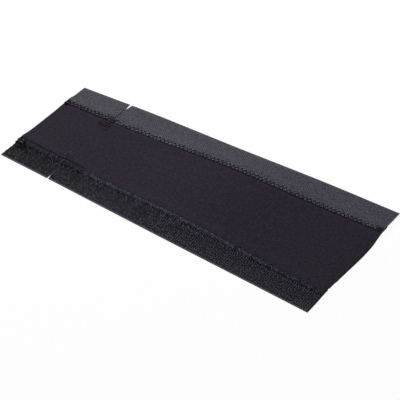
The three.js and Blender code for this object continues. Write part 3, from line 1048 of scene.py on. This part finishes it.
# Threads: a three-ply profile twisted along a curve
thread = {
    "radius": 0.225 * mm,
    "plyDepth": 0.13,
    "turnLength": 2.4 * mm,
    "step": 0.24 * mm,
    "underStep": 0.34 * mm,
    "sink": 0.75 * mm,
    "underRise": 0.5 * mm,
    "dip": 0.45 * mm,
    "glintPitch": 4.7 * mm,
}


def plyProfile():
    curve = bpy.data.curves.new("threadProfile", "CURVE")
    curve.dimensions = "2D"
    spline = curve.splines.new("POLY")
    sides = 12
    spline.points.add(sides - 1)
    for number in range(sides):
        turn = number * 2 * math.pi / sides
        radius = thread["radius"] * (1 + thread["plyDepth"] * math.cos(3 * turn))
        spline.points[number].co = (radius * math.cos(turn), radius * math.sin(turn), 0, 1)
    spline.use_cyclic_u = True
    return newObject("threadProfile", curve)


def threadOf(name, paths, node):  # each path is its points and the number of its material
    profile = plyProfile()
    curve = bpy.data.curves.new(name, "CURVE")
    curve.dimensions = "3D"
    curve.bevel_mode, curve.bevel_object, curve.use_fill_caps = "OBJECT", profile, True
    curve.twist_mode = "Z_UP"
    for material in (glintingBlackThread, blackThread):
        curve.materials.append(material)
    for path, material in paths:
        spline = curve.splines.new("POLY")
        spline.points.add(len(path) - 1)
        spline.points.foreach_set("co", np.column_stack([path, np.ones(len(path))]).ravel())
        run = np.concatenate([[0], np.cumsum(np.linalg.norm(np.diff(path, axis=0), axis=1))])
        spline.points.foreach_set("tilt", run * 2 * math.pi / thread["turnLength"])
        spline.material_index = material
    selectOnly(newObject(name, curve))
    bpy.ops.object.convert(target="MESH")
    piece = bpy.context.object
    bpy.data.objects.remove(profile)
    turnFacesOut()
    bpy.ops.object.shade_smooth_by_angle(angle=math.radians(60))
    x, y, _ = placesOf(piece).T
    # painted glints along the threads, dimmer on the hook side towards the wide end
    tone = 0.55 * sine(x, thread["glintPitch"], 3 * np.sin(x * 83)) + 0.35 * np.sin(x * 517)
    setTone(piece, tone - 0.4 * wideShare(x) * (y < 0))
    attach(piece, "root")
    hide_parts(node)
    print(name + ":", len(piece.data.polygons), "faces")
    return piece


def tangle(centre, size, turns, seed):  # a loose end that curls over itself
    own = np.random.default_rng(seed)
    t = np.linspace(0, turns * 2 * math.pi, turns * 22)
    phase = own.uniform(0, 2 * math.pi, 6)
    swings = [
        0.75 * np.sin(t + phase[0]) + 0.25 * np.sin(2.3 * t + phase[1]),
        0.75 * np.sin(1.31 * t + phase[2]) + 0.25 * np.sin(0.6 * t + phase[3]),
        0.8 * np.sin(1.7 * t + phase[4]) + 0.2 * np.sin(3.1 * t + phase[5]),
    ]
    ways = zip(centre, size, swings)
    return np.column_stack([(middle + extent / 2 * swing) * mm for middle, extent, swing in ways])


def sewnLine(holes, side, surfaceAt, sunk):  # thread that lies in its grooves and dips at each hole
    line = alongStitches(holes, thread["step"])
    x, y, toHole = line[:, 0], line[:, 1] * side, line[:, 2]
    dip = thread["sink"] * (1 - smooth(toHole / thread["dip"]))
    return np.column_stack([x, y, surfaceAt(x, y) + thread["radius"] - sunk - dip])


def underLine(holes, side):  # the lower thread, close under the layers
    line = alongStitches(holes, thread["underStep"])
    x, y, toHole = line[:, 0], line[:, 1] * side, line[:, 2]
    rise = thread["underRise"] * (1 - smooth(toHole / thread["dip"]))
    return np.column_stack([x, y, thread["radius"] * (1 + thread["plyDepth"]) + rise + archAt(x)])


def loopTapeTop(x, y):
    inner, _, outer, _ = widthsAt(x)
    nominal = (np.abs(y) - inner) * tapeWidth / (outer - inner)
    return tapeHeights(nominal, loopTape, "top") + liftAt(x, y)


def panelTop(x, y):
    return panelHeights(x, y, True) + panelPuckers(x, y)


# the black thread, and a lighter copy of it whose colour is painted highlight standing in for its glints
glinting, black = 0, 1
loopStart = np.vstack([*loopParts[:2], loopParts[2][:1]])
loopEnd = np.vstack([loopParts[2][-1:], loopParts[3]])
hookStart = np.vstack([hookParts[0], hookParts[1][:1]])
loopSeamThread = threadOf(
    "loopSeamNeedleThread",
    [
        (sewnLine(loopStart, 1, loopTapeTop, 0.24 * mm), black),
        (sewnLine(loopParts[2], 1, loopTapeTop, 0.2 * mm), black),
        (sewnLine(loopEnd, 1, loopTapeTop, 0.14 * mm), glinting),
        (tangle((-123.9, 23.6, 2.75), (2, 5.4, 0.8), 6, 3), black),
        (tangle((121.9, 33.8, 3), (4.6, 3, 0.5), 5, 4), black),
        *[(sewnLine(holes, 1, loopTapeTop, 0.06 * mm), black) for holes in barHoles],
    ],
    "loop_seam_needle_thread",
)
hookSeamThread = threadOf(
    "hookSeamNeedleThread",
    [
        (sewnLine(hookStart, -1, panelTop, 0.24 * mm), black),
        (sewnLine(hookParts[1], -1, panelTop, 0.14 * mm), glinting),
        (sewnLine(besideHoles, -1, panelTop, 0.24 * mm), black),
        (tangle((-122.6, -28.6, 2.9), (6.6, 5.6, 1.9), 9, 5), black),
        # a curl of the lighter thread copy over the knot, painted highlight on it
        (tangle((-122.3, -29, 3.2), (5.4, 4.6, 1.5), 3, 8), glinting),
    ],
    "hook_seam_needle_thread",
)
loopBobbin = threadOf("loopSeamBobbinThread", [(underLine(loopHoles, 1), glinting)], "loop_seam_bobbin_thread")
hookBobbin = threadOf("hookSeamBobbinThread", [(underLine(hookHoles, -1), glinting)], "hook_seam_bobbin_thread")
for side, holes in darnHoles.items():
    camel, plain = ("loopSide", "loop_side") if side > 0 else ("hookSide", "hook_side")
    upper = [(sewnLine(holes, side, panelTop, 0.2 * mm), black)]
    threadOf(camel + "DarningNeedleThread", upper, plain + "_darning_needle_thread")
    lower = [(underLine(holes, side), black)]
    threadOf(camel + "DarningBobbinThread", lower, plain + "_darning_bobbin_thread")


# Floor, light and camera
def makeFloor():
    bpy.ops.mesh.primitive_plane_add(size=6, location=(0, 0, -0.05 * mm))
    floor = bpy.context.object
    floor.name = "floor"
    material, tree, shader, _ = newMaterial("paleFloor", 0.9, 0.1)
    shader.inputs["Base Color"].default_value = (0.85, 0.85, 0.85, 1)
    glow = tree.nodes.new("ShaderNodeEmission")
    glow.inputs["Color"].default_value = (1, 1, 1, 1)
    glow.inputs["Strength"].default_value = 1.05
    mix, path = tree.nodes.new("ShaderNodeMixShader"), tree.nodes.new("ShaderNodeLightPath")
    seen = mathNode(tree, "MAXIMUM", path.outputs["Is Camera Ray"], path.outputs["Is Glossy Ray"])
    tree.links.new(mathNode(tree, "MULTIPLY", seen, 0.9), mix.inputs[0])
    tree.links.new(shader.outputs[0], mix.inputs[1])
    tree.links.new(glow.outputs[0], mix.inputs[2])
    tree.links.new(mix.outputs[0], tree.nodes["Material Output"].inputs["Surface"])
    floor.data.materials.append(material)


def makeLight(name, place, size, power):
    bpy.ops.object.light_add(type="AREA", location=place)
    light = bpy.context.object
    light.name, light.data.name = name, name
    light.data.size, light.data.energy = size, power
    light.rotation_euler = (-Vector(place)).to_track_quat("-Z", "Y").to_euler()


makeFloor()
makeLight("keyLight", (-0.62, 0.5, 0.5), 0.25, 5.8)
makeLight("fillLight", (0.5, -0.9, 0.9), 1.2, 1.35)
world = bpy.context.scene.world or bpy.data.worlds.new("studio")
bpy.context.scene.world = world
world.use_nodes = True
backdrop = world.node_tree.nodes["Background"]
backdrop.inputs["Color"].default_value = (1, 1, 1, 1)
backdrop.inputs["Strength"].default_value = 0.17

view = {
    "azimuth": 35.34,
    "elevation": 40.83,
    "roll": -0.31,
    "distance": 1.2525,
    "target": (0.00952, -0.00664, 0),
    "lens": 172.65,
    "sensor": 36,
}


def makeCamera():
    a, e = math.radians(view["azimuth"]), math.radians(view["elevation"])
    back = Vector((math.sin(a) * math.cos(e), -math.cos(a) * math.cos(e), math.sin(e)))
    target = Vector(view["target"])
    bpy.ops.object.camera_add(location=target + back * view["distance"])
    camera = bpy.context.object
    turned = (-back).to_track_quat("-Z", "Y") @ Quaternion((0, 0, 1), math.radians(view["roll"]))
    camera.rotation_euler = turned.to_euler()
    camera.data.lens, camera.data.sensor_width = view["lens"], view["sensor"]
    bpy.context.scene.camera = camera


makeCamera()
bpy.context.scene.view_settings.view_transform = "Standard"
